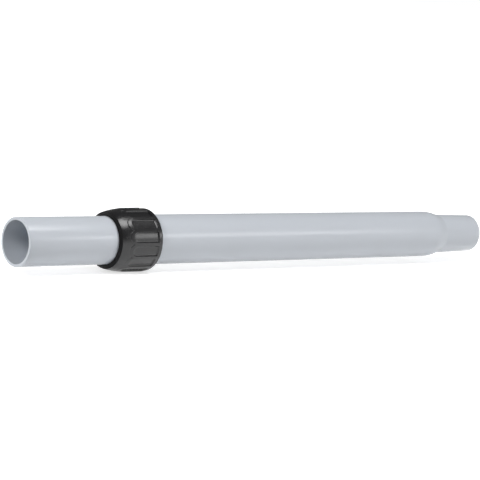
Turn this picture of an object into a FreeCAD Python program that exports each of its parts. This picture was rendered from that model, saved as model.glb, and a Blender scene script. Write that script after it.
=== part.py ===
import FreeCAD
import Part

import math
import os

# Telescopic vacuum wand: a socket tube that slides in an outer tube and is held by a screw collar.
# X runs along the wand from the mouth of the hose socket, at 0, to the tip of the tool spigot. Z is up.
# The wand is modelled pushed right in and locked. All sizes are millimetres and degrees.

# Outer tube
outer_diameter = 38.0
outer_wall = 1.25
outer_straight_length = 333.0
shoulder_length = 10.7
shoulder_step = 2.65
shoulder_rounding = 14.0
spigot_length = 41.8
spigot_taper = 1.25
spigot_wall = 1.25
spigot_root_rounding = 5.0
tip_bevel = 0.6

# Thread boss at the collar end of the outer tube, at the outside of its thread
boss_step = 1.6
boss_length = 18.0
boss_chamfer = 0.8
boss_run_out = 2.0

# Inner tube: a belled hose socket on a thinner sliding length
slide_gap = 0.5
slide_wall = 1.5
socket_step = 0.85
socket_wall = 2.1
socket_reach = 80.0
socket_hidden_length = 2.7
bell_length = 2.0
mouth_rounding = 0.8
mouth_bevel = 0.45
inner_end_gap = 1.0

# Guide rings snapped into grooves on the sliding length
ring_width = 10.0
ring_seat_depth = 0.4
ring_seat_gap = 0.05
ring_running_gap = 0.1
ring_split = 2.5
end_ring_inset = 4.0
ring_spacing = 80.0

# Seal ring in the end of the outer tube
seal_width = 2.5
seal_proud = 0.5
seal_thickness = 1.5
seal_gap = 0.05

# Clamp ring squeezed by the cone inside the collar
clamp_clearance = 0.1
clamp_cone_gap = 0.1
clamp_inset = 2.1
clamp_slit = 2.0
clamp_relief_slot = 1.2
clamp_relief_share = 0.6
clamp_slots = 6

# Screw collar
lip_clearance = 0.3
lip_length = 4.5
cone_length = 9.0
tube_end_gap = 0.5
thread_clearance = 0.3
collar_wall = 1.8
collar_skirt = 6.0
nose_rim = 0.8
nose_length = 4.3
dome_length = 4.6
dome_drop = 0.85
crown_length = 6.6
crown_drop = 0.82
grip_taper = 0.18
flange_length = 3.4
flange_drop = 0.42
flange_lead = 0.2
rear_bevel = 0.8

# Finger flutes round the collar's grip
flute_count = 14
flute_depth = 1.36
flute_width = 7.9
flute_lead = 4.4

# Radii that follow from the sizes above
outer_r = outer_diameter / 2
outer_bore_r = outer_r - outer_wall
slide_r = outer_bore_r - slide_gap
slide_bore_r = slide_r - slide_wall
socket_r = slide_r + socket_step
socket_bore_r = socket_r - socket_wall
spigot_root_r = outer_r - shoulder_step
spigot_tip_r = spigot_root_r - spigot_length * math.tan(math.radians(spigot_taper))
boss_r = outer_r + boss_step
nut_r = boss_r + thread_clearance
seal_bore_r = slide_r + seal_gap
seal_r = seal_bore_r + seal_thickness
seal_seat_r = seal_r + seal_gap
ring_seat_r = slide_r - ring_seat_depth
ring_r = outer_bore_r - ring_running_gap
lip_r = socket_r + lip_clearance
flute_floor_r = nut_r + collar_wall
collar_r = flute_floor_r + flute_depth + grip_taper / 2
grip_front_r = collar_r - grip_taper
flange_r = collar_r - flange_drop

# Places along the wand that follow from the sizes above
collar_face = socket_reach
cone_start = collar_face + lip_length
cone_end = cone_start + cone_length
tube_end = cone_end + tube_end_gap
boss_end = tube_end + boss_length
collar_end = boss_end + collar_skirt
shoulder_start = tube_end + outer_straight_length
spigot_start = shoulder_start + shoulder_length
tip = spigot_start + spigot_length
bore_shoulder = shoulder_start - outer_wall
bell_start = collar_face + socket_hidden_length
bell_end = bell_start + bell_length
inner_end = bore_shoulder - inner_end_gap
end_ring_start = inner_end - end_ring_inset - ring_width
stop_ring_start = end_ring_start - ring_spacing
seal_start = tube_end - seal_proud
seal_end = seal_start + seal_width
clamp_start = cone_start + clamp_inset
clamp_end = seal_start - seal_gap
nose_end = collar_face + nose_length
dome_end = nose_end + dome_length
grip_start = dome_end + crown_length
flute_start = grip_start - flute_lead
flute_end = collar_end - flange_length
flange_start = flute_end - flange_lead

ORIGIN = FreeCAD.Vector(0, 0, 0)
AXIS = FreeCAD.Vector(1, 0, 0)
FULL_TURN = 360.0
CUT_PAST = 1.0
SAME_PLACE = 0.001
ROUNDING_STEPS = 2


def at(x, r):
    """A profile point: x along the wand and r out from its axis."""
    return FreeCAD.Vector(x, r, 0)


def turned(*points):
    """Revolves a closed profile about the wand's axis."""
    profile = Part.makePolygon(list(points) + [points[0]])
    return Part.Face(profile).revolve(ORIGIN, AXIS, FULL_TURN)


def eased(start, end):
    """Points that round an outer corner, from a face square to the axis to a wall along it."""
    points = []
    for step in range(ROUNDING_STEPS + 1):
        turn = math.radians(90 * step / ROUNDING_STEPS)
        x = end.x - (end.x - start.x) * math.cos(turn)
        r = start.y + (end.y - start.y) * math.sin(turn)
        points.append(at(x, r))
    return points


def circles(shape, x, r):
    """The circular edges of a turned shape at a place and radius."""
    found = []
    for edge in shape.Edges:
        if not isinstance(edge.Curve, Part.Circle):
            continue
        place_error = abs(edge.Curve.Center.x - x)
        radius_error = abs(edge.Curve.Radius - r)
        if max(place_error, radius_error) < SAME_PLACE:
            found.append(edge)
    return found


def rounded(shape, radius, x, r):
    return shape.makeFillet(radius, circles(shape, x, r))


def bevelled(shape, size, x, r):
    return shape.makeChamfer(size, circles(shape, x, r))


def around(shape, angle):
    """A copy of a shape turned about the wand's axis."""
    copy = shape.copy()
    copy.rotate(ORIGIN, AXIS, angle)
    return copy


def wall_slot(width, start, length, reach):
    """A block that cuts a slot of this width through the wall above the axis."""
    return Part.makeBox(length, width, reach, FreeCAD.Vector(start, -width / 2, 0))


def make_outer_tube():
    """The outer tube: thread boss and seal rebate at one end, shoulder and tapered spigot at the other."""
    seal_seat_end = seal_end + seal_gap
    tube = turned(
        at(tube_end, boss_r),
        at(boss_end - boss_run_out, boss_r),
        at(boss_end, outer_r),
        at(shoulder_start, outer_r),
        at(spigot_start, spigot_root_r),
        at(tip, spigot_tip_r),
        at(tip, spigot_tip_r - spigot_wall),
        at(spigot_start, spigot_root_r - spigot_wall),
        at(bore_shoulder, outer_bore_r),
        at(seal_seat_end, outer_bore_r),
        at(seal_seat_end, seal_seat_r),
        at(tube_end, seal_seat_r),
    )
    tube = bevelled(tube, boss_chamfer, tube_end, boss_r)
    tube = rounded(tube, shoulder_rounding, shoulder_start, outer_r)
    tube = rounded(tube, spigot_root_rounding, spigot_start, spigot_root_r)
    tube = bevelled(tube, tip_bevel, tip, spigot_tip_r)
    return bevelled(tube, tip_bevel, tip, spigot_tip_r - spigot_wall)


def make_inner_tube():
    """The inner tube: belled hose socket, sliding length and the two grooves for the guide rings."""
    tube = turned(
        *eased(at(0, socket_r - mouth_rounding), at(mouth_rounding, socket_r)),
        at(bell_start, socket_r),
        at(bell_end, slide_r),
        at(inner_end, slide_r),
        at(inner_end, slide_bore_r),
        at(bell_end, slide_bore_r),
        at(bell_start - bell_length, socket_bore_r),
        at(0, socket_bore_r),
    )
    tube = bevelled(tube, mouth_bevel, 0, socket_bore_r)
    for ring_start in (end_ring_start, stop_ring_start):
        groove_start = ring_start - ring_seat_gap
        groove_end = ring_start + ring_width + ring_seat_gap
        groove = turned(
            at(groove_start, ring_seat_r),
            at(groove_end, ring_seat_r),
            at(groove_end, slide_r + CUT_PAST),
            at(groove_start, slide_r + CUT_PAST),
        )
        tube = tube.cut(groove)
    return tube


def make_guide_ring(start):
    """A split ring that fills the gap between the tubes. The front one is also the pull-out stop."""
    ring_bore_r = ring_seat_r + ring_seat_gap
    end = start + ring_width
    ring = turned(at(start, ring_bore_r), at(start, ring_r), at(end, ring_r), at(end, ring_bore_r))
    return ring.cut(wall_slot(ring_split, start - CUT_PAST, ring_width + 2 * CUT_PAST, outer_r))


def make_seal_ring():
    """The rubber ring that the clamp ring presses into the end of the outer tube."""
    return turned(
        at(seal_start, seal_bore_r), at(seal_start, seal_r), at(seal_end, seal_r), at(seal_end, seal_bore_r)
    )


def make_clamp_ring():
    """The split cone ring: one slit right through and relief slots from its thin end."""
    cone_slope = (nut_r - lip_r) / cone_length
    bore_r = slide_r + clamp_clearance
    front_r = lip_r + (clamp_start - cone_start) * cone_slope - clamp_cone_gap
    rear_r = lip_r + (clamp_end - cone_start) * cone_slope - clamp_cone_gap
    ring = turned(
        at(clamp_start, bore_r), at(clamp_start, front_r), at(clamp_end, rear_r), at(clamp_end, bore_r)
    )
    length = clamp_end - clamp_start
    slit = wall_slot(clamp_slit, clamp_start - CUT_PAST, length + 2 * CUT_PAST, nut_r)
    relief_length = clamp_relief_share * length + CUT_PAST
    relief = wall_slot(clamp_relief_slot, clamp_start - CUT_PAST, relief_length, nut_r)
    slots = [slit]
    for number in range(1, clamp_slots):
        slots.append(around(relief, number * FULL_TURN / clamp_slots))
    return ring.cut(slots)


def make_flute_cutter():
    """One finger flute above the axis: flat floor, round front end and a square wall at the rear flange."""
    half = flute_width / 2
    corners = [
        FreeCAD.Vector(flute_start + half, -half, flute_floor_r),
        FreeCAD.Vector(flute_end, -half, flute_floor_r),
        FreeCAD.Vector(flute_end, half, flute_floor_r),
        FreeCAD.Vector(flute_start + half, half, flute_floor_r),
    ]
    edges = [Part.LineSegment(a, b).toShape() for a, b in zip(corners, corners[1:])]
    front = FreeCAD.Vector(flute_start, 0, flute_floor_r)
    edges.append(Part.Arc(corners[-1], front, corners[0]).toShape())
    height = collar_r + CUT_PAST - flute_floor_r
    return Part.Face(Part.Wire(edges)).extrude(FreeCAD.Vector(0, 0, height))


def make_lock_collar():
    """The screw collar: domed front, fluted grip, rear flange, clamp cone and the bore of its thread.

    The flutes start on the crown of the dome, and the lands between them rise with it to the grip.
    The flange is a little lower than the lands, so the wand lies on the two lands beside its lowest flute.
    """
    dome_rear_r = grip_front_r - crown_drop
    dome_front_r = dome_rear_r - dome_drop
    collar = turned(
        *eased(at(collar_face, lip_r + nose_rim), at(nose_end, dome_front_r)),
        at(dome_end, dome_rear_r),
        at(grip_start, grip_front_r),
        at(flange_start, collar_r),
        at(flange_start, flange_r),
        at(collar_end, flange_r),
        at(collar_end, nut_r),
        at(cone_end, nut_r),
        at(cone_start, lip_r),
        at(collar_face, lip_r),
    )
    collar = bevelled(collar, rear_bevel, collar_end, flange_r)
    flute = make_flute_cutter()
    pitch = FULL_TURN / flute_count
    return collar.cut([around(flute, number * pitch) for number in range(flute_count)])


PIECES = {
    "outer_tube": make_outer_tube(),
    "inner_tube": make_inner_tube(),
    "end_guide_ring": make_guide_ring(end_ring_start),
    "stop_guide_ring": make_guide_ring(stop_ring_start),
    "seal_ring": make_seal_ring(),
    "clamp_ring": make_clamp_ring(),
    "lock_collar": make_lock_collar(),
}

os.makedirs("parts", exist_ok=True)
for name, shape in PIECES.items():
    print(f"{name}: {len(shape.Solids)} solid, valid {shape.isValid()}, volume {shape.Volume:.0f} mm3")
    shape.exportStep(f"parts/{name}.step")

print(f"socket bore radius {socket_bore_r:.3f}, length {bell_start - bell_length:.3f}")
print(f"overall length {tip:.3f}")
print(f"pull-out travel to the seal ring {stop_ring_start - seal_end:.3f}")
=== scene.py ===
import math

import bmesh
import bpy
from mathutils import Color, Matrix, Vector


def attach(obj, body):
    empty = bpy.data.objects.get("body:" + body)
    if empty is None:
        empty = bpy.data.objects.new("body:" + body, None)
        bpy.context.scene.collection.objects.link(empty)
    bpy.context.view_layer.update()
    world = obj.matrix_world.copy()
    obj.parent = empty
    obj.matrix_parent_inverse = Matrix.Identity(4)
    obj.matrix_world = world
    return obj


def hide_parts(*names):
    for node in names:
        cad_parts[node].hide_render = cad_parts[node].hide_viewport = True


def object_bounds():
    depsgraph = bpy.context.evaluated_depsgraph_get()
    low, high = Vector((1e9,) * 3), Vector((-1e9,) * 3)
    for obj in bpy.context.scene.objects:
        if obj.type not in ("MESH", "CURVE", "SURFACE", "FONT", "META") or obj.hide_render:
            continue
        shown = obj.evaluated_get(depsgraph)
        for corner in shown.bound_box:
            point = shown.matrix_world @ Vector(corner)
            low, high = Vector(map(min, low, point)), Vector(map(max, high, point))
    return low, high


# Telescopic vacuum wand: the finished skins of its tubes and screw collar, their materials and the studio.
# X runs along the wand from the mouth of the hose socket, at 0, to the tip of the tool spigot. Z is up.
# The wand's and the camera's sizes are millimetres and degrees, and MM turns them into the scene's metres.
# The sizes of the floor and the lamps are metres.

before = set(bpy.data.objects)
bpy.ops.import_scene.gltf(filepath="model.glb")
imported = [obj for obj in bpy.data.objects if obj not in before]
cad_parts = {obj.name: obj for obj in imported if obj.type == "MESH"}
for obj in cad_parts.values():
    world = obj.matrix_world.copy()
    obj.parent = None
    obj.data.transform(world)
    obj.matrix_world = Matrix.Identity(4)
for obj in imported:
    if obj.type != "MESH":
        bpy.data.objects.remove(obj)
cad_low, cad_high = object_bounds()

MM = 0.001
FULL_TURN = 360

# Inner tube
socket_r = 18.1
socket_bore_r = 16.0
bell_start = 82.7
bell_end = 84.7
bell_bore_start = 80.7
slide_r = 17.25
slide_bore_r = 15.75
inner_end = 424.75
groove_r = 16.85
groove_starts = (330.7, 410.7)
groove_width = 10.1
mouth_rounding = 0.3
mouth_bore_rounding = 0.2
bell_rounding = 1.5
bell_bore_rounding = 2.0
groove_rounding = 0.1
inner_end_rounding = 0.4
inner_end_bore_rounding = 0.3

# Outer tube
outer_r = 19.0
outer_bore_r = 17.75
bore_shoulder = 425.75
shoulder_start = 427.0
spigot_start = 437.7
tip = 479.5
spigot_root_r = 16.35
spigot_tip_r = 15.438
spigot_wall = 1.25
shoulder_rounding = 40.0
spigot_root_rounding = 8.0
spigot_bore_rounding = 3.0
bore_shoulder_rounding = 6.0
tip_rounding = 0.6
tip_bore_rounding = 0.5

# Thread boss and seal seat at the collar end of the outer tube
tube_end = 94.0
tube_end_rounding = 0.15
boss_r = 20.6
boss_chamfer = 0.8
boss_run_out = 110.0
boss_end = 112.0
boss_end_rounding = 1.0
seal_seat_r = 18.85
seal_seat_end = 96.05
seal_seat_rounding = 0.1

# Thread between the boss and the collar, whose ridges lie half a turn apart
thread_lead = 3.0
thread_depth = 1.0
thread_flank = 0.35
thread_fade = 2.0
thread_rows_per_turn = 8
thread_stagger = 0.5
boss_crest = 0.9
nut_crest = 0.6
nut_thread_start = 96.0
nut_thread_end = 110.0

# Front of the screw collar: lip, steep matt nose and dome. The nose is also darker in colour than the rest of
# the collar, as painted shade.
collar_face = 80.0
lip_r = 18.4
lip_rounding = 0.15
nose_rim_r = 19.2
nose_rim_rounding = 0.3
matt_and_shade_end = 81.6
brow_x = 81.26
brow_r = 21.39
brow_rounding = 0.4
dome_start = 84.3
dome_front_r = 22.3
dome_front_rounding = 30.0
dome_end = 88.9
dome_rear_r = 23.15
dome_ease = 2.5

# Fine line round the collar, between its front band and its grip
line_front = 87.7
line_rear = 91.7
line_bow = 3.0
line_depth = 0.16
line_width = 0.9
line_edge_rounding = 0.05
line_floor_rounding = 0.04

# Grip, rear flange and inside of the screw collar
grip_start = 95.5
grip_front_r = 23.97
grip_ease = 3.0
collar_r = 24.15
collar_end = 118.0
flange_start = 114.4
flange_r = 23.73
flange_ease = 0.15
rear_rounding = 0.8
nut_r = 20.9
nut_rounding = 0.3
cone_start = 84.5
cone_end = 93.5

# Finger flutes
flute_count = 14
flute_start = 91.1
flute_end = 114.6
flute_half = 3.95
flute_floor_r = 22.7
flute_edge = 0.12
flute_scoop = 1.1
flute_rear_scoop = 0.75
flute_hollow = 2.2
flute_rear_hollow = 1.0
flute_wall_share = 0.5
flute_rear_wall_share = 0.62

# Fineness of the flutes: steps from the edge, and shares of the stretches between
flute_edge_steps = (-0.16, -0.12, -0.08, -0.04, 0.0, 0.04, 0.08, 0.12, 0.18, 0.26, 0.36, 0.48, 0.62, 0.8, 1.1)
flute_land_steps = (0.3, 0.6, 0.85)
flute_floor_shares = (0.0, 0.25, 0.5, 0.75)
flute_crown_shares = (0.35, 0.7)
flute_cap_shares = (0.33, 0.67, 1.0)
flute_middle_shares = (0.33, 0.67)
flute_cap_reach = 1.65

# Raised arrow on the front band of the collar
arrow_tip = 83.3
arrow_neck = 84.9
arrow_tail = 86.9
arrow_half_head = 1.5
arrow_half_shaft = 0.5
arrow_angle = 74.9
arrow_height = 0.45
arrow_sunk = 0.2
arrow_bevel = 0.15
arrow_bevel_steps = 2

# Fineness of the skins
TUBE_COLUMNS = 160
ARC_STEPS = 6
SHARP_ANGLE = 50

# Plastic: slow changes of shade and gloss, fine grain, and lines along the tool's draw
SCREEN_WHITE = 255
EVEN = (1.0, 1.0, 1.0)
noise_low = 0.3
noise_high = 0.7
slow_stretch = (0.4, 1.0, 1.0)
slow_scale = 45.0
slow_detail = 3.0
shade_swing = 0.01
roughness_swing = 0.015
grain_detail = 2.0
draw_stretch = (0.012, 1.0, 1.0)
draw_scale = 700.0
draw_detail = 2.0
plastic_ior = 1.5

# Rubber: a dusty bloom over a fine grain
bloom_scale = 160.0
bloom_detail = 4.0
bloom_lift = 1.7
bloom_roughness = (0.55, 0.75)
rubber_grain_scale = 2600.0
rubber_grain_detail = 2.0
rubber_grain_depth = 0.03

# Camera
view_turn = 48.32
view_roll = -1.23
view_lift = 9.6
view_distance = 1651.1
view_centre = Vector((215.65, 0, -1.995))
view_end = 100000
focal_length = 157.5
sensor_width = 36.0

# Floor: it glows more far away, and left of the mouth it is darker and glows more to stay white
floor_half = 30.0
floor_near = 0.35
floor_far = 1.6
floor_glow_near = 0.66
floor_glow_far = 1.0
floor_pale = 0.85
floor_dim = 0.3
floor_glow_dim = 0.87
dim_start = 0.02
dim_end = -0.04

# Room: brightness in each direction, and the parts of a direction's X, Y and Z where it changes
WHITE = (1.0, 1.0, 1.0, 1.0)
room_left = 0.05
room_front = 0.31
room_back = 0.12
room_turn_start = -0.3
room_turn_end = 0.3
room_front_end = -0.5
room_back_start = 0.5
backdrop_top = 0.12
backdrop_fade = 0.05

# Lamps: name, azimuth and elevation from the collar, distance, width, height and power in watts
lamps = (
    ("front_key", -52.0, 66.0, 1.8, 0.85, 0.85, 16.5),
    ("low_strip", -48.0, 17.0, 2.0, 0.85, 0.4, 4.5),
    ("left_key", -166.0, 39.0, 1.5, 0.6, 0.6, 10.7),
    ("back_fill", 97.0, 36.0, 1.8, 0.9, 0.9, 8.0),
    ("mouth_light", 165.0, 2.5, 1.2, 0.25, 0.1, 4.3),
)


def softened(corners):
    """Rounds an outline. Each corner is (x, r, radius), and a corner of radius 0 stays sharp."""
    points = []
    for number, (x, r, radius) in enumerate(corners):
        corner = Vector((x, r))
        if radius == 0:
            points.append(corner)
            continue
        before = (Vector(corners[number - 1][:2]) - corner).normalized()
        after = (Vector(corners[(number + 1) % len(corners)][:2]) - corner).normalized()
        half_angle = before.angle(after) / 2
        centre = corner + (before + after).normalized() * radius / math.sin(half_angle)
        start = corner + before * radius / math.tan(half_angle) - centre
        end = corner + after * radius / math.tan(half_angle) - centre
        turn = start.angle_signed(end)
        for step in range(ARC_STEPS + 1):
            points.append(centre + Matrix.Rotation(-turn * step / ARC_STEPS, 2) @ start)
    return points


def turned_point(x, r, angle):
    """A point at x along the wand and r from its axis, turned about +X from the top."""
    turn = math.radians(angle)
    return (x * MM, -r * math.sin(turn) * MM, r * math.cos(turn) * MM)


def smooth_step(value):
    """Eases a share from 0 to 1."""
    share = min(max(value, 0.0), 1.0)
    return share * share * (3 - 2 * share)


def bend(past, ease):
    """How far past a soft bend a place is. The bend spreads over ease on each side."""
    return min(max(past + ease, 0.0), 2 * ease) ** 2 / (4 * ease) + max(past - ease, 0.0)


def mesh_object(name, mesh):
    """Puts a mesh in the scene with its faces outward, smooth where the form is smooth."""
    skin = bmesh.new()
    skin.from_mesh(mesh)
    bmesh.ops.recalc_face_normals(skin, faces=skin.faces)
    skin.to_mesh(mesh)
    skin.free()
    mesh.shade_smooth()
    mesh.set_sharp_from_angle(angle=math.radians(SHARP_ANGLE))
    piece = bpy.data.objects.new(name, mesh)
    bpy.context.scene.collection.objects.link(piece)
    return piece


def skin_of(name, angles, column):
    """A closed skin round the axis. column(angle) gives the outline there, always with as many points."""
    vertices = []
    for angle in angles:
        vertices.extend(turned_point(x, r, angle) for x, r in column(angle))
    rows = len(vertices) // len(angles)
    faces = []
    for number in range(len(angles)):
        here = number * rows
        there = (number + 1) % len(angles) * rows
        for row in range(rows):
            after = (row + 1) % rows
            faces.append((here + row, here + after, there + after, there + row))
    mesh = bpy.data.meshes.new(name)
    mesh.from_pydata(vertices, [], faces)
    return mesh_object(name, mesh)


def even_angles(count):
    """Angles that share a full turn evenly."""
    return [FULL_TURN * number / count for number in range(count)]


def thread_rows(start, end):
    """Places along a threaded stretch, close enough to draw its ridges."""
    count = round((end - start) / thread_lead * thread_rows_per_turn)
    return [start + (end - start) * row / count for row in range(count + 1)]


def ridge_share(x, angle, start, end, crest, offset):
    """How far a thread's ridge stands out at a place, from 0 to 1. It fades towards the thread's two ends."""
    turns = (x - start) / thread_lead - angle / FULL_TURN - offset
    from_middle = abs(turns - round(turns)) * thread_lead
    flank = thread_flank * thread_depth
    rise = (crest / 2 + flank - from_middle) / flank
    fade = min(x - start, end - x) / thread_fade
    return min(max(rise, 0.0), 1.0) * smooth_step(fade)


def make_inner_tube():
    """Belled hose socket with a rounded mouth, and the thinner sliding length with its two ring grooves."""
    corners = [
        (0, socket_bore_r, mouth_bore_rounding),
        (0, socket_r, mouth_rounding),
        (bell_start, socket_r, bell_rounding),
        (bell_end, slide_r, bell_rounding),
    ]
    for start in groove_starts:
        end = start + groove_width
        corners.append((start, slide_r, groove_rounding))
        corners.append((start, groove_r, groove_rounding))
        corners.append((end, groove_r, groove_rounding))
        corners.append((end, slide_r, groove_rounding))
    corners.append((inner_end, slide_r, inner_end_rounding))
    corners.append((inner_end, slide_bore_r, inner_end_bore_rounding))
    corners.append((bell_end, slide_bore_r, bell_bore_rounding))
    corners.append((bell_bore_start, socket_bore_r, bell_bore_rounding))
    outline = softened(corners)
    return skin_of("socket_tube", even_angles(TUBE_COLUMNS), lambda angle: outline)


def make_outer_tube():
    """Straight tube with a threaded boss, a soft shoulder and the tapered spigot."""
    thread_root_r = boss_r - thread_depth
    body = softened([
        (boss_run_out, thread_root_r, 0),
        (boss_end, outer_r, boss_end_rounding),
        (shoulder_start, outer_r, shoulder_rounding),
        (spigot_start, spigot_root_r, spigot_root_rounding),
        (tip, spigot_tip_r, tip_rounding),
        (tip, spigot_tip_r - spigot_wall, tip_bore_rounding),
        (spigot_start, spigot_root_r - spigot_wall, spigot_bore_rounding),
        (bore_shoulder, outer_bore_r, bore_shoulder_rounding),
        (seal_seat_end, outer_bore_r, seal_seat_rounding),
        (seal_seat_end, seal_seat_r, seal_seat_rounding),
        (tube_end, seal_seat_r, tube_end_rounding),
        (tube_end, thread_root_r, 0),
    ])
    rows = thread_rows(tube_end + boss_chamfer, boss_run_out - boss_chamfer)

    def column(angle):
        threaded = []
        for x in rows:
            share = ridge_share(x, angle, rows[0], rows[-1], boss_crest, 0)
            threaded.append(Vector((x, thread_root_r + thread_depth * share)))
        return body + threaded

    return skin_of("outer_tube_skin", even_angles(TUBE_COLUMNS), column)


def flute_sides():
    """Places across half of a flute and the start of its land, close together at the flute's edge."""
    scoop_start = flute_half - flute_scoop
    sides = [scoop_start * share for share in flute_floor_shares]
    sides += [flute_half - step for step in reversed(flute_edge_steps)]
    sides += [flute_half + flute_edge + step for step in flute_land_steps]
    return sides


def flute_front(side):
    """Where a flute's rounded front end begins at this distance from its middle."""
    reach = math.sqrt(max(flute_half ** 2 - side ** 2, 0.0))
    return flute_start + flute_half - reach


def flute_rows(side, start):
    """Places along one flute at this distance from its middle, close together at its two ends."""
    front = flute_front(side)
    edge_start = front + flute_edge_steps[0]
    edge_end = front + flute_edge_steps[-1]
    cap_end = flute_start + flute_half + flute_cap_reach
    rear_start = flute_end - flute_edge_steps[-1]
    rows = [start + (edge_start - start) * share for share in flute_crown_shares]
    rows += [front + step for step in flute_edge_steps]
    rows += [edge_end + (cap_end - edge_end) * share for share in flute_cap_shares]
    rows += [cap_end + (rear_start - cap_end) * share for share in flute_middle_shares]
    rows += [flute_end - step for step in reversed(flute_edge_steps)]
    return rows


def flute_depth_share(x, side):
    """How deep a flute is at a place: 0 on the land and 1 on its floor.

    The floor rises in a hollow to a crisp edge. The hollow at the rear wall has sizes of its own.
    """
    front_centre = flute_start + flute_half
    inside = flute_half - math.hypot(max(front_centre - x, 0.0), side)
    scoop = flute_scoop
    curve = flute_hollow
    wall = flute_wall_share
    if x >= front_centre and flute_end - x <= inside:
        inside = flute_end - x
        scoop = flute_rear_scoop
        curve = flute_rear_hollow
        wall = flute_rear_wall_share
    if inside <= -flute_edge:
        return 0.0
    rise = min(max(1 - inside / scoop, 0.0), 1.0)
    hollow = 1 - wall * rise ** curve
    return hollow * smooth_step((inside + flute_edge) / (2 * flute_edge))


def grip_r(x):
    """Radius of the collar: its dome and crown, the lands that they ease into, and the drop to the flange."""
    dome_slope = (dome_rear_r - dome_front_r) / (dome_end - dome_start)
    crown_slope = (grip_front_r - dome_rear_r) / (grip_start - dome_end)
    land_slope = (collar_r - grip_front_r) / (flange_start - grip_start)
    land_r = dome_front_r + dome_slope * (x - dome_start)
    land_r += (crown_slope - dome_slope) * bend(x - dome_end, dome_ease)
    land_r += (land_slope - crown_slope) * bend(x - grip_start, grip_ease)
    drop = smooth_step((x - flange_start + flange_ease) / (2 * flange_ease))
    return land_r + (flange_r - land_r) * drop


def line_middle(land_share):
    """Where the fine line runs. It bows forward round the front end of each flute."""
    return line_front + (line_rear - line_front) * land_share ** line_bow


def collar_front(middle, skin_end):
    """Lip, steep nose and dome, with the fine line where it is."""
    start = middle - line_width / 2
    end = middle + line_width / 2
    return softened([
        (cone_start, lip_r, 0),
        (collar_face, lip_r, lip_rounding),
        (collar_face, nose_rim_r, nose_rim_rounding),
        (brow_x, brow_r, brow_rounding),
        (dome_start, dome_front_r, dome_front_rounding),
        (start, grip_r(start), line_edge_rounding),
        (middle, grip_r(middle) - line_depth, line_floor_rounding),
        (end, grip_r(end), line_edge_rounding),
        (skin_end, grip_r(skin_end), 0),
    ])


def make_collar():
    """Fluted screw collar: front with its fine line, fluted grip, rear flange and inner thread."""
    rear = softened([
        (flute_end, flange_r, 0),
        (collar_end, flange_r, rear_rounding),
        (collar_end, nut_r, nut_rounding),
        (nut_thread_end, nut_r, 0),
    ])[1:-1]
    rows = list(reversed(thread_rows(nut_thread_start, nut_thread_end)))
    seat = [Vector((cone_end, nut_r))]
    pitch = FULL_TURN / flute_count
    boss_thread_start = tube_end + boss_chamfer
    nut_offset = thread_stagger - (nut_thread_start - boss_thread_start) / thread_lead

    def column(angle):
        from_flute = (angle + pitch / 2) % pitch - pitch / 2
        side = abs(grip_front_r * math.sin(math.radians(from_flute)))
        middle = line_middle(abs(from_flute) / (pitch / 2))
        skin_end = (middle + line_width / 2 + flute_front(side)) / 2
        fluted = []
        for x in flute_rows(side, skin_end):
            land_r = grip_r(x)
            fluted.append(Vector((x, land_r - (land_r - flute_floor_r) * flute_depth_share(x, side))))
        threaded = []
        for x in rows:
            share = ridge_share(x, angle, nut_thread_start, nut_thread_end, nut_crest, nut_offset)
            threaded.append(Vector((x, nut_r - thread_depth * share)))
        return collar_front(middle, skin_end) + fluted + rear + threaded + seat

    turns = [math.degrees(math.asin(side / grip_front_r)) for side in flute_sides()]
    angles = []
    for flute in range(flute_count):
        middle = flute * pitch
        angles += [middle - turn for turn in reversed(turns)]
        angles += [middle + turn for turn in turns[1:]]
        angles.append(middle + pitch / 2)
    piece = skin_of("collar_skin", angles, column)
    # Faces of the nose take the second material: matt, and darker in colour as painted shade.
    for face in piece.data.polygons:
        face.material_index = int(face.center.x < matt_and_shade_end * MM)
    return piece


def make_arrow():
    """Small raised arrow that lies on the curve of the collar's front band and points to the mouth."""
    half_outline = [
        (arrow_neck, arrow_half_head),
        (arrow_neck, arrow_half_shaft),
        (arrow_tail, arrow_half_shaft),
    ]
    outline = [(arrow_tip, 0.0)] + half_outline + [(x, -side) for x, side in reversed(half_outline)]
    vertices = []
    for height in (-arrow_sunk, arrow_height):
        for x, side in outline:
            r = grip_r(x) + height
            vertices.append(turned_point(x, r, arrow_angle + math.degrees(math.asin(side / r))))
    count = len(outline)
    faces = [list(range(count)), list(range(count, 2 * count))]
    for number in range(count):
        after = (number + 1) % count
        faces.append([number, after, count + after, count + number])
    mesh = bpy.data.meshes.new("collar_arrow")
    mesh.from_pydata(vertices, [], faces)
    piece = mesh_object("collar_arrow", mesh)
    bevel = piece.modifiers.new("soft_edges", "BEVEL")
    bevel.width = arrow_bevel * MM
    bevel.segments = arrow_bevel_steps
    return piece


def linear(red, green, blue):
    """A colour written in screen values from 0 to 255, as the shader's linear colour."""
    screen = Color((red / SCREEN_WHITE, green / SCREEN_WHITE, blue / SCREEN_WHITE))
    return (*screen.from_srgb_to_scene_linear(), 1.0)


def scaled(colour, factor):
    """A lighter or darker colour."""
    return (*(min(channel * factor, 1.0) for channel in colour[:3]), 1.0)


def empty_nodes(owner):
    """The node tree of a material or a world, with nothing in it."""
    owner.use_nodes = True
    owner.node_tree.nodes.clear()
    return owner.node_tree


def new_material(name):
    """A material with its main shader. Also returns the node tree and the shader."""
    material = bpy.data.materials.new(name)
    tree = empty_nodes(material)
    output = tree.nodes.new("ShaderNodeOutputMaterial")
    shader = tree.nodes.new("ShaderNodeBsdfPrincipled")
    tree.links.new(shader.outputs["BSDF"], output.inputs["Surface"])
    return material, tree, shader


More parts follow.
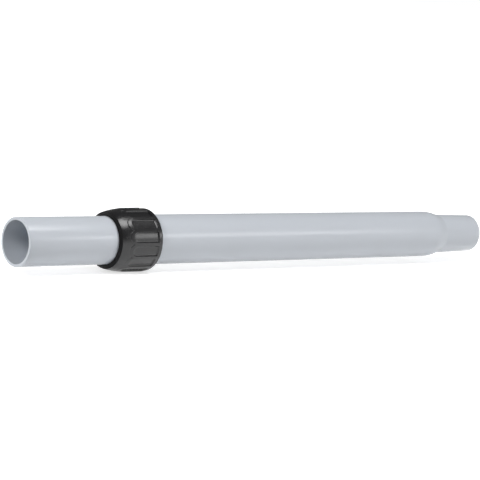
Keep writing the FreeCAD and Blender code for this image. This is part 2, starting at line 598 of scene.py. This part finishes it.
def noise(tree, stretch, scale, detail):
    """Noise fixed to the piece. stretch gives its scale along X and across it."""
    place = tree.nodes.new("ShaderNodeTexCoord")
    mapping = tree.nodes.new("ShaderNodeMapping")
    mapping.inputs["Scale"].default_value = stretch
    pattern = tree.nodes.new("ShaderNodeTexNoise")
    pattern.inputs["Scale"].default_value = scale
    pattern.inputs["Detail"].default_value = detail
    tree.links.new(place.outputs["Object"], mapping.inputs["Vector"])
    tree.links.new(mapping.outputs["Vector"], pattern.inputs["Vector"])
    return pattern.outputs["Fac"]


def part_of(tree, value, from_low, from_high, to_low, to_high, easing="SMOOTHSTEP"):
    """Maps one range to another without going past its ends, smoothly unless easing says otherwise."""
    node = tree.nodes.new("ShaderNodeMapRange")
    node.interpolation_type = easing
    node.inputs["From Min"].default_value = from_low
    node.inputs["From Max"].default_value = from_high
    node.inputs["To Min"].default_value = to_low
    node.inputs["To Max"].default_value = to_high
    tree.links.new(value, node.inputs["Value"])
    return node.outputs["Result"]


def spread(tree, value, low, high):
    """Maps the middle of a noise to a range."""
    return part_of(tree, value, noise_low, noise_high, low, high, "LINEAR")


def tint(tree, value, low, high):
    """Maps the middle of a noise to a blend of two colours."""
    ramp = tree.nodes.new("ShaderNodeValToRGB")
    for stop, position, colour in zip(ramp.color_ramp.elements, (noise_low, noise_high), (low, high)):
        stop.position = position
        stop.color = colour
    tree.links.new(value, ramp.inputs["Fac"])
    return ramp.outputs["Color"]


def relief(tree, height, depth, under=None):
    """Bump of this depth in millimetres, on top of another one if there is one under it."""
    bump = tree.nodes.new("ShaderNodeBump")
    bump.inputs["Distance"].default_value = depth * MM
    tree.links.new(height, bump.inputs["Height"])
    if under is not None:
        tree.links.new(under, bump.inputs["Normal"])
    return bump.outputs["Normal"]


def combined(tree, operation, first, second):
    """One value from two, by an operation such as MULTIPLY."""
    node = tree.nodes.new("ShaderNodeMath")
    node.operation = operation
    tree.links.new(first, node.inputs[0])
    tree.links.new(second, node.inputs[1])
    return node.outputs["Value"]


def moulded_plastic(name, colour, roughness, gloss, grain, grain_depth, draw_depth):
    """Moulded plastic: fine grain, faint lines along the tool's draw, and slow changes of gloss and shade."""
    material, tree, shader = new_material(name)
    slow = noise(tree, slow_stretch, slow_scale, slow_detail)
    fine = noise(tree, EVEN, 1 / (grain * MM), grain_detail)
    draw = noise(tree, draw_stretch, draw_scale, draw_detail)
    shade = tint(tree, slow, scaled(colour, 1 - shade_swing), scaled(colour, 1 + shade_swing))
    rough = spread(tree, slow, roughness - roughness_swing, roughness + roughness_swing)
    normal = relief(tree, fine, grain_depth, relief(tree, draw, draw_depth))
    tree.links.new(shade, shader.inputs["Base Color"])
    tree.links.new(rough, shader.inputs["Roughness"])
    tree.links.new(normal, shader.inputs["Normal"])
    shader.inputs["IOR"].default_value = plastic_ior
    shader.inputs["Specular IOR Level"].default_value = gloss
    return material


def soft_rubber(name, colour):
    """Matt rubber with a fine grain and a faint dusty bloom."""
    material, tree, shader = new_material(name)
    bloom = noise(tree, EVEN, bloom_scale, bloom_detail)
    fine = noise(tree, EVEN, rubber_grain_scale, rubber_grain_detail)
    shade = tint(tree, bloom, colour, scaled(colour, bloom_lift))
    tree.links.new(shade, shader.inputs["Base Color"])
    tree.links.new(spread(tree, bloom, *bloom_roughness), shader.inputs["Roughness"])
    tree.links.new(relief(tree, fine, rubber_grain_depth), shader.inputs["Normal"])
    return material


def dress(piece, material, body, slot, *nodes):
    """Gives a piece its finish and the body that it moves with, and hides the solids that it stands for."""
    piece.data.materials.append(material)
    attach(piece, body)
    if nodes:
        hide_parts(*nodes)


def finish_node(name, material):
    """Gives its material to a solid that is shown as it is."""
    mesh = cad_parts[name].data
    mesh.materials.clear()
    mesh.materials.append(material)


def add_camera():
    """A long lens from the front left, lifted about the wand's axis to look down on it a little."""
    turn = math.radians(view_turn)
    roll = math.radians(view_roll)
    forward = Vector((math.cos(turn), math.sin(turn), 0))
    level = Vector((math.sin(turn), -math.cos(turn), 0))
    upright = Vector((0, 0, 1))
    right = level * math.cos(roll) + upright * math.sin(roll)
    up = upright * math.cos(roll) - level * math.sin(roll)
    data = bpy.data.cameras.new("camera")
    data.lens = focal_length
    data.sensor_width = sensor_width
    data.clip_end = view_end * MM
    camera = bpy.data.objects.new("camera", data)
    axes = Matrix((right, up, -forward)).transposed()
    level_view = Matrix.Translation((view_centre - forward * view_distance) * MM) @ axes.to_4x4()
    camera.matrix_world = Matrix.Rotation(math.radians(-view_lift), 4, "X") @ level_view
    bpy.context.scene.collection.objects.link(camera)
    bpy.context.scene.camera = camera


def add_lamp(name, azimuth, elevation, distance, width, height, power):
    """A soft lamp at a direction from the collar, facing it. Azimuth 0 is +X and 90 is +Y."""
    around = math.radians(azimuth)
    above = math.radians(elevation)
    way = Vector((math.cos(above) * math.cos(around), math.cos(above) * math.sin(around), math.sin(above)))
    data = bpy.data.lights.new(name, "AREA")
    data.shape = "RECTANGLE"
    data.size = width
    data.size_y = height
    data.energy = power
    lamp = bpy.data.objects.new(name, data)
    lamp.location = Vector((dome_end * MM, 0, 0)) + way * distance
    lamp.rotation_euler = way.to_track_quat("Z", "Y").to_euler()
    bpy.context.scene.collection.objects.link(lamp)


def seen_mask(tree):
    """1 for what the camera sees, straight or in a gloss or through a clear piece, and 0 for other rays."""
    path = tree.nodes.new("ShaderNodeLightPath")
    mask = path.outputs["Is Camera Ray"]
    for kind in ("Is Glossy Ray", "Is Transmission Ray"):
        mask = combined(tree, "MAXIMUM", mask, path.outputs[kind])
    return mask


def floor_material(centre_x):
    """White where it is seen, with the wand's shadow. Left of the mouth it throws less light back."""
    material = bpy.data.materials.new("floor_white")
    tree = empty_nodes(material)
    output = tree.nodes.new("ShaderNodeOutputMaterial")
    matt = tree.nodes.new("ShaderNodeBsdfDiffuse")
    glow = tree.nodes.new("ShaderNodeEmission")
    both = tree.nodes.new("ShaderNodeAddShader")
    place = tree.nodes.new("ShaderNodeTexCoord")
    reach = tree.nodes.new("ShaderNodeVectorMath")
    reach.operation = "LENGTH"
    tree.links.new(place.outputs["Object"], reach.inputs[0])
    split = tree.nodes.new("ShaderNodeSeparateXYZ")
    tree.links.new(place.outputs["Object"], split.inputs["Vector"])
    along = split.outputs["X"]
    left_end = dim_end - centre_x
    left_start = dim_start - centre_x
    shade = part_of(tree, along, left_end, left_start, floor_dim, floor_pale)
    far_glow = part_of(tree, reach.outputs["Value"], floor_near, floor_far, floor_glow_near, floor_glow_far)
    left_glow = part_of(tree, along, left_end, left_start, floor_glow_dim, floor_glow_near)
    most = combined(tree, "MAXIMUM", far_glow, left_glow)
    strength = combined(tree, "MULTIPLY", seen_mask(tree), most)
    tree.links.new(shade, matt.inputs["Color"])
    tree.links.new(strength, glow.inputs["Strength"])
    tree.links.new(matt.outputs["BSDF"], both.inputs[0])
    tree.links.new(glow.outputs["Emission"], both.inputs[1])
    tree.links.new(both.outputs["Shader"], output.inputs["Surface"])
    return material


def add_floor():
    """A wide pale floor under the wand, which takes its shadow and looks white away from it."""
    mesh = bpy.data.meshes.new("floor")
    corners = [(x, y, 0) for x, y in ((-1, -1), (1, -1), (1, 1), (-1, 1))]
    mesh.from_pydata([Vector(corner) * floor_half for corner in corners], [], [(0, 1, 2, 3)])
    floor = bpy.data.objects.new("floor", mesh)
    floor.location = ((cad_low.x + cad_high.x) / 2, 0, cad_low.z)
    bpy.context.scene.collection.objects.link(floor)
    mesh.materials.append(floor_material(floor.location.x))


def add_world():
    """A dim room, darkest at the left and lightest in front, with a white backdrop that meets the floor."""
    world = bpy.data.worlds.new("studio")
    bpy.context.scene.world = world
    tree = empty_nodes(world)
    output = tree.nodes.new("ShaderNodeOutputWorld")
    room = tree.nodes.new("ShaderNodeBackground")
    room.inputs["Color"].default_value = WHITE
    backdrop = tree.nodes.new("ShaderNodeBackground")
    backdrop.inputs["Color"].default_value = WHITE
    either = tree.nodes.new("ShaderNodeMixShader")
    place = tree.nodes.new("ShaderNodeTexCoord")
    way = tree.nodes.new("ShaderNodeSeparateXYZ")
    tree.links.new(place.outputs["Generated"], way.inputs["Vector"])
    leftness = part_of(tree, way.outputs["X"], room_turn_start, room_turn_end, 1.0, 0.0)
    depth = part_of(tree, way.outputs["Y"], room_front_end, room_back_start, room_front, room_back)
    level = tree.nodes.new("ShaderNodeMix")
    level.inputs["B"].default_value = room_left
    tree.links.new(leftness, level.inputs["Factor"])
    tree.links.new(depth, level.inputs["A"])
    low = part_of(tree, way.outputs["Z"], backdrop_top, backdrop_top + backdrop_fade, 1.0, 0.0)
    share = combined(tree, "MULTIPLY", seen_mask(tree), low)
    tree.links.new(level.outputs["Result"], room.inputs["Strength"])
    tree.links.new(share, either.inputs["Fac"])
    tree.links.new(room.outputs["Background"], either.inputs[1])
    tree.links.new(backdrop.outputs["Background"], either.inputs[2])
    tree.links.new(either.outputs["Shader"], output.inputs["Surface"])


# Materials
tube_grey = moulded_plastic(
    "tube_grey", linear(201, 206, 213),
    roughness=0.25, gloss=0.5, grain=0.5, grain_depth=0.004, draw_depth=0.006,
)
collar_black = moulded_plastic(
    "collar_black", linear(20, 20, 22),
    roughness=0.25, gloss=0.62, grain=0.35, grain_depth=0.006, draw_depth=0.002,
)
# Nose of the collar: a matt finish, and a darker colour than the collar that is painted shade at the lip and
# gap.
nose_matt_painted_shade = moulded_plastic(
    "nose_matt_painted_shade", linear(9, 9, 10),
    roughness=0.55, gloss=0.15, grain=0.25, grain_depth=0.02, draw_depth=0.0,
)
ring_white = moulded_plastic(
    "ring_white", linear(226, 223, 212),
    roughness=0.4, gloss=0.5, grain=0.5, grain_depth=0.006, draw_depth=0.004,
)
seal_rubber = soft_rubber("seal_rubber", linear(34, 34, 35))

# Pieces
dress(make_inner_tube(), tube_grey, "inner", "tube_grey", "inner_tube")
dress(make_outer_tube(), tube_grey, "outer", "tube_grey", "outer_tube")
collar = make_collar()
dress(collar, collar_black, "collar", "collar_black", "lock_collar")
# The nose gets the matt material, whose darker colour is painted shade.
collar.data.materials.append(nose_matt_painted_shade)
dress(make_arrow(), collar_black, "collar", "collar_black")
for ring in ("clamp_ring", "end_guide_ring", "stop_guide_ring"):
    finish_node(ring, ring_white)
finish_node("seal_ring", seal_rubber)

# Studio
add_camera()
add_floor()
add_world()
for lamp in lamps:
    add_lamp(*lamp)
bpy.context.scene.view_settings.view_transform = "Standard"
